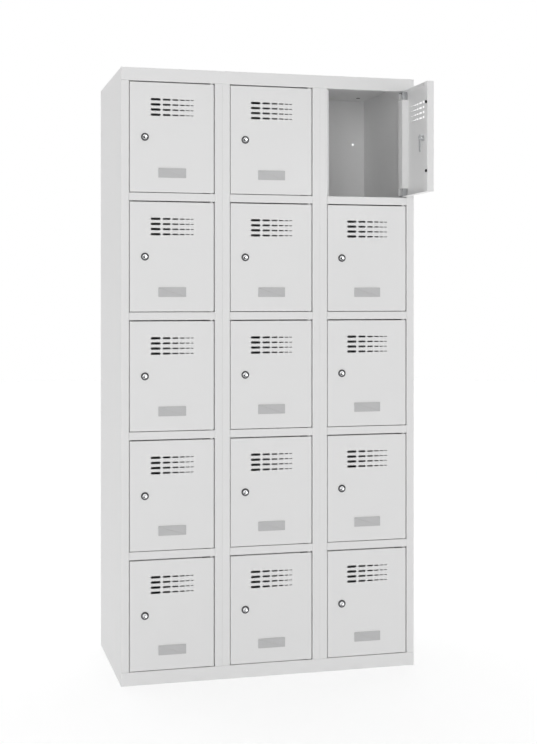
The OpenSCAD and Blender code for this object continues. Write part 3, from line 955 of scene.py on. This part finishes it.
@dataclass
class HingeFittings:
    """The bracket and the headed pin at each end of a door's stiffening box."""

    shape: DoorShape
    box_width: float = 35.0 * MM
    edge_radius: float = 4.0 * MM
    thickness: float = 3.0 * MM
    leg: float = 32.0 * MM
    pin_radius: float = 2.5 * MM
    pin_fit: float = 0.05 * MM
    head_radius: float = 4.0 * MM
    head_thickness: float = 2.0 * MM

    def bracket(self) -> bpy.types.Object:
        """Models the upper bracket with the door's end at zero: a plate, then its leg drawn down."""
        left = self.shape.hinge_edge - self.box_width + SHEET + SEAM
        right = self.shape.hinge_edge - SHEET - SEAM
        front = self.shape.face + self.edge_radius
        rear = self.shape.rear - SHEET - SEAM
        under = -SEAM - self.thickness
        made = Bench.block("bracket", (left, front, under), (right, rear, -SEAM))
        Bench.pick_faces(made, lambda centre, normal: True)
        fold = left + self.thickness
        bpy.ops.mesh.bisect(plane_co=(fold, 0, 0), plane_no=(1, 0, 0))
        Bench.done()
        Bench.pick_faces(made, lambda centre, normal: normal.z < -0.9 and centre.x < fold)
        drop = self.thickness - self.leg
        bpy.ops.mesh.extrude_region_move(TRANSFORM_OT_translate={"value": (0, 0, drop)})
        Bench.done()
        bore = self.pin_radius + self.pin_fit
        Bench.combine(made, Bench.rod("bore", bore, under - MM, MM, 32))
        Bench.ease(made, 0.5 * MM, 3)
        return made

    def pin(self, gap: float) -> bpy.types.Object:
        """Turns a pin with the door's end at zero.

        Args:
            gap: The gap between the door's end and the cabinet.

        Returns:
            The pin, with its head inside the door and a chamfered tip.
        """
        seat = -SEAM - self.thickness - SEAM
        under = seat - self.head_thickness
        tip = gap + SHEET + Bushes.SPIGOT_END
        chamfer, ease = 0.5 * MM, 0.2 * MM
        outline = [(0.0, under), (self.head_radius - chamfer, under)]
        outline += [(self.head_radius, under + chamfer), (self.head_radius, seat - ease)]
        outline += [(self.head_radius - ease, seat), (self.pin_radius, seat)]
        outline += [(self.pin_radius, tip - chamfer), (self.pin_radius - chamfer, tip), (0.0, tip)]
        return Bench.smooth(Bench.turned("pin", outline, 32))

    def set_of_four(self, gaps: tuple[float, float]) -> bpy.types.Object:
        """Places a bracket and a pin at each end of the door and joins them.

        Args:
            gaps: The gaps under and over the door.

        Returns:
            The one piece, in the door's frame.
        """
        upper = Matrix.Translation((0, 0, self.shape.head))
        lower = Matrix.Translation((0, 0, self.shape.foot)) @ Matrix.Scale(-1, 4, (0, 0, 1))
        bracket = self.bracket()
        parts = [Bench.copy(bracket, "bracket_upper", upper), Bench.copy(bracket, "bracket_lower", lower)]
        parts[1].data.flip_normals()
        bpy.data.objects.remove(bracket)
        for gap, place in zip(gaps, (lower, upper)):
            pin = self.pin(gap)
            parts.append(Bench.copy(pin, "pin_copy", place))
            if place is lower:
                parts[-1].data.flip_normals()
            bpy.data.objects.remove(pin)
        return Bench.join("hinge_fittings", parts)

    def fittings(self) -> list[Fitting]:
        """Returns the joined piece, with pins that reach through the gaps into the bushes."""
        gaps = (Bushes.GAP_UNDER, Bushes.GAP_OVER)
        return [Fitting("hinge_fittings", self.set_of_four(gaps), ZINC, Slot.ZINC)]


# ---- Pieces on the carcass ----


@dataclass
class Bushes:
    """Flanged nylon bushes above and below every door, in one piece."""

    GAP_UNDER = 2.0 * MM
    GAP_OVER = 3.5 * MM
    SPIGOT_END = 1.2 * MM

    shape: DoorShape
    play: float = 0.3 * MM
    collar_radius: float = 4.5 * MM
    spigot_radius: float = 3.5 * MM
    bore_radius: float = 2.55 * MM

    def bush(self, gap: float) -> bpy.types.Object:
        """Turns a bush with its collar up from zero and its spigot down through the sheet.

        Args:
            gap: The gap that the collar fills, less its play.

        Returns:
            The bush on the Z axis.
        """
        top, foot = gap - self.play, -SHEET - self.SPIGOT_END
        chamfer = 0.3 * MM
        outline = [(self.bore_radius, foot), (self.bore_radius, top - chamfer)]
        outline += [(self.bore_radius + chamfer, top), (self.collar_radius - chamfer, top)]
        outline += [(self.collar_radius, top - chamfer)]
        outline += [(self.collar_radius, 0.0), (self.spigot_radius, 0.0)]
        outline += [(self.spigot_radius, foot + chamfer), (self.spigot_radius - chamfer, foot)]
        return Bench.smooth(Bench.turned("bush", outline, 32))

    def build(self, doorways: Iterable[Doorway]) -> bpy.types.Object:
        """Copies the two bushes to every doorway.

        Args:
            doorways: The doors that they carry.

        Returns:
            The joined bushes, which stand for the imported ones.
        """
        lower, upper = self.bush(self.GAP_UNDER), self.bush(self.GAP_OVER)
        parts = []
        for doorway in doorways:
            foot = Matrix.Translation(doorway.pivot + Vector((0, 0, self.shape.foot - self.GAP_UNDER)))
            head = Matrix.Translation(doorway.pivot + Vector((0, 0, self.shape.head + self.GAP_OVER)))
            parts.append(Bench.copy(lower, f"bush_lower_{doorway.key}", foot))
            over = head @ Matrix.Rotation(math.pi, 4, "X")
            parts.append(Bench.copy(upper, f"bush_upper_{doorway.key}", over))
        bpy.data.objects.remove(lower)
        bpy.data.objects.remove(upper)
        made = Bench.join("nylon_bushes", parts)
        return Carcass.add(made, NYLON, Slot.NYLON, "hinge_bushes")


@dataclass
class HolePlugs:
    """Domed rubber plugs in the two holes of the top sheet, in one piece."""

    stem_radius: float = 4.85 * MM
    head_radius: float = 6.5 * MM
    head: float = 1.0 * MM
    bevel: float = 0.3 * MM

    def build(self) -> bpy.types.Object:
        """Turns a plug, hangs one in each hole and joins them.

        Returns:
            The joined plugs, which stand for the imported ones.
        """
        low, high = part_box("hole_plugs")
        top = high.z - low.z
        outline = [(0.0, top), (self.stem_radius - self.bevel, top)]
        outline += [(self.stem_radius, top - self.bevel), (self.stem_radius, self.head)]
        outline += [(self.head_radius, self.head), (self.head_radius, self.head - self.bevel)]
        outline += [(self.head_radius - 2 * self.bevel, self.bevel), (self.head_radius / 2, 0.0), (0.0, 0.0)]
        pattern = Bench.smooth(Bench.turned("plug", outline, 32))
        middle = (low.y + high.y) / 2
        parts = []
        for i, x in enumerate((low.x + self.head_radius, high.x - self.head_radius)):
            parts.append(Bench.copy(pattern, f"plug_{i}", Matrix.Translation((x, middle, low.z))))
        bpy.data.objects.remove(pattern)
        return Carcass.add(Bench.join("rubber_hole_plugs", parts), RUBBER, Slot.RUBBER, "hole_plugs")


@dataclass
class Carcass:
    """The folded sheets of the cabinet and the door pans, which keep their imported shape."""

    shape: DoorShape
    doorways: list[Doorway]
    weld_inset: float = 7.5 * MM
    side_weld_pitch: float = 112.0 * MM
    fold_weld_pitch: float = 118.0 * MM

    @staticmethod
    def add(piece: bpy.types.Object, finish: Finish, slot: Slot, node: str) -> bpy.types.Object:
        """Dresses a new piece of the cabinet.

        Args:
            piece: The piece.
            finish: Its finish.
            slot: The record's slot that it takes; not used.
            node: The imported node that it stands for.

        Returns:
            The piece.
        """
        piece.data.materials.clear()
        piece.data.materials.append(finish.material())
        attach(piece, "carcass")
        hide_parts(node)
        return piece

    def welded_coats(self) -> dict[str, PowderCoat]:
        """Lays out the rows of spot welds on the sides and the back.

        Returns:
            The coat of each of these nodes, by name.
        """
        levels = sorted({round(doorway.pivot.z, 5) for doorway in self.doorways})
        pitch = levels[1] - levels[0]
        shelf = levels[0] + self.shape.foot - Bushes.GAP_UNDER - self.weld_inset
        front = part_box("side_panel_left")[0].y
        side = WeldGrid(Along.Y, front + self.side_weld_pitch / 2, self.side_weld_pitch, shelf, pitch)
        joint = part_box("partition_left")[1].x
        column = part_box("partition_right")[1].x - joint
        back = WeldGrid(Along.X, joint - self.weld_inset, column, shelf, self.fold_weld_pitch)
        return {
            "side_panel_left": PowderCoat("powder_coat_side", welds=side),
            "side_panel_right": PowderCoat("powder_coat_side", welds=side),
            "back_panel": PowderCoat("powder_coat_back", welds=back),
        }

    def dress(self) -> int:
        """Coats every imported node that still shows.

        Returns:
            How many nodes were coated.
        """
        coats = self.welded_coats()
        plain = PowderCoat("powder_coat_smooth")
        count = 0
        for name, node in frame["nodes"].items():
            if node.hide_render:
                continue
            node.data.materials.clear()
            node.data.materials.append(coats.get(name, plain).material())
            count += 1
        return count


# ---- Studio ----


@dataclass(frozen=True)
class Glow:
    """A broad light low in front of the doors.

    yaw is in degrees to the left of straight ahead of the doors, as the camera sees them. A
    higher focus makes the light narrower, and level is its strength in the middle.
    """

    yaw: float
    focus: float
    level: float


@dataclass
class Studio:
    """Pale floor, soft light and the camera.

    The ramps are in the parts of a direction to the sky that point to the rear and up.
    """

    front: float
    camera_x: float = -0.9793
    camera_distance: float = 3.8979
    camera_height: float = 1.1372
    yaw: float = 14.978
    lens: float = 65.09
    sensor: float = 36.0
    shift: tuple[float, float] = (-0.0319, -0.1034)
    floor_half: float = 14.0
    floor_glow: float = 0.32
    floor_tones: tuple[Colour, Colour] = ((0.92, 0.92, 0.92), (0.94, 0.94, 0.94))
    front_level: float = 0.04
    rear_ramp: tuple[float, float] = (0.15, 0.85)
    top_ramp: tuple[float, float] = (0.3, 0.9)
    glows: tuple[Glow, ...] = (Glow(18.0, 55.0, 7.2), Glow(-12.0, 60.0, 2.4))
    diffuse_bounces: int = 8

    def floor(self) -> None:
        """Lays the floor, a wide flat disc with a faint light of its own."""
        Bench.clear()
        bpy.ops.mesh.primitive_circle_add(vertices=96, radius=self.floor_half, fill_type="NGON")
        made = bpy.context.object
        made.name = "studio_floor"
        paint = bpy.data.materials.new("studio_floor")
        paint.use_nodes = True
        graph = Graph(paint.node_tree)
        cloudy = graph.noise(graph.place(), 0.6, 2.0)
        graph.surface(
            {
                "Base Color": graph.blend(cloudy, *self.floor_tones),
                "Roughness": 0.9,
                "Specular IOR Level": 0.1,
                "Emission Color": (1.0, 1.0, 1.0, 1.0),
                "Emission Strength": self.floor_glow,
            }
        )
        made.data.materials.append(paint)

    def sky(self) -> None:
        """Lights the room: white behind and above, and dim in front but for the glows."""
        world = bpy.data.worlds.new("studio_sky")
        world.use_nodes = True
        graph = Graph(world.node_tree)
        around = Signal(graph, graph.node("ShaderNodeTexCoord").outputs["Generated"])
        _, ahead, up = graph.axes(around)
        behind = ahead.ramp(*self.rear_ramp)
        above = up.ramp(*self.top_ramp)
        strength = behind.math("MAXIMUM", behind, above) * (1 - self.front_level) + self.front_level
        for glow in self.glows:
            yaw = math.radians(glow.yaw)
            sockets = {0: around, 1: (-math.sin(yaw), -math.cos(yaw), 0.0)}
            facing = graph.node("ShaderNodeVectorMath", {"operation": "DOT_PRODUCT"}, sockets)
            toward = Signal(graph, facing.outputs["Value"])
            lobe = toward.math("POWER", toward.math("MAXIMUM", toward, 0.0), glow.focus)
            strength = strength + lobe * glow.level
        seen = Signal(graph, graph.node("ShaderNodeLightPath").outputs["Is Camera Ray"])
        strength = seen.math("MAXIMUM", seen, strength)
        sockets = {"Color": (1.0, 1.0, 1.0, 1.0), "Strength": strength}
        shader = graph.node("ShaderNodeBackground", {}, sockets)
        graph.node("ShaderNodeOutputWorld", {}, {"Surface": shader.outputs[0]})
        bpy.context.scene.world = world

    def camera(self) -> None:
        """Sets the camera, level and turned a little to the right."""
        data = bpy.data.cameras.new("camera")
        data.lens = self.lens
        data.sensor_width = self.sensor
        data.shift_x, data.shift_y = self.shift
        made = bpy.data.objects.new("camera", data)
        made.location = (self.camera_x, self.front - self.camera_distance, self.camera_height)
        made.rotation_euler = (math.pi / 2, 0, -math.radians(self.yaw))
        bpy.context.scene.collection.objects.link(made)
        bpy.context.scene.camera = made

    def build(self) -> None:
        """Sets up the floor, the light and the camera."""
        self.floor()
        self.sky()
        self.camera()
        bpy.context.scene.view_settings.view_transform = "Standard"
        bpy.context.scene.view_settings.look = "None"
        bpy.context.scene.cycles.diffuse_bounces = self.diffuse_bounces


def main() -> None:
    """Builds the object's pieces, then the studio."""
    logging.basicConfig(level=logging.INFO, format="%(name)s: %(message)s")
    doorways = find_doorways()
    shape = DoorShape.read(next(doorway for doorway in doorways if doorway.closed))
    for kind in (CamLock, LabelHolder, Buffers, HingeFittings):
        for fitting in kind(shape).fittings():
            LOG.info("%s: %d copies in %s", fitting.name, fitting.fit(doorways), fitting.finish.name)
    for piece in (Bushes(shape).build(doorways), HolePlugs().build()):
        LOG.info("%s: %d faces", piece.name, len(piece.data.polygons))
    LOG.info("powder coat on %d packed nodes", Carcass(shape, doorways).dress())
    Studio(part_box("top_panel")[0].y).build()
    Bench.clear()


if __name__ == "__main__":
    main()
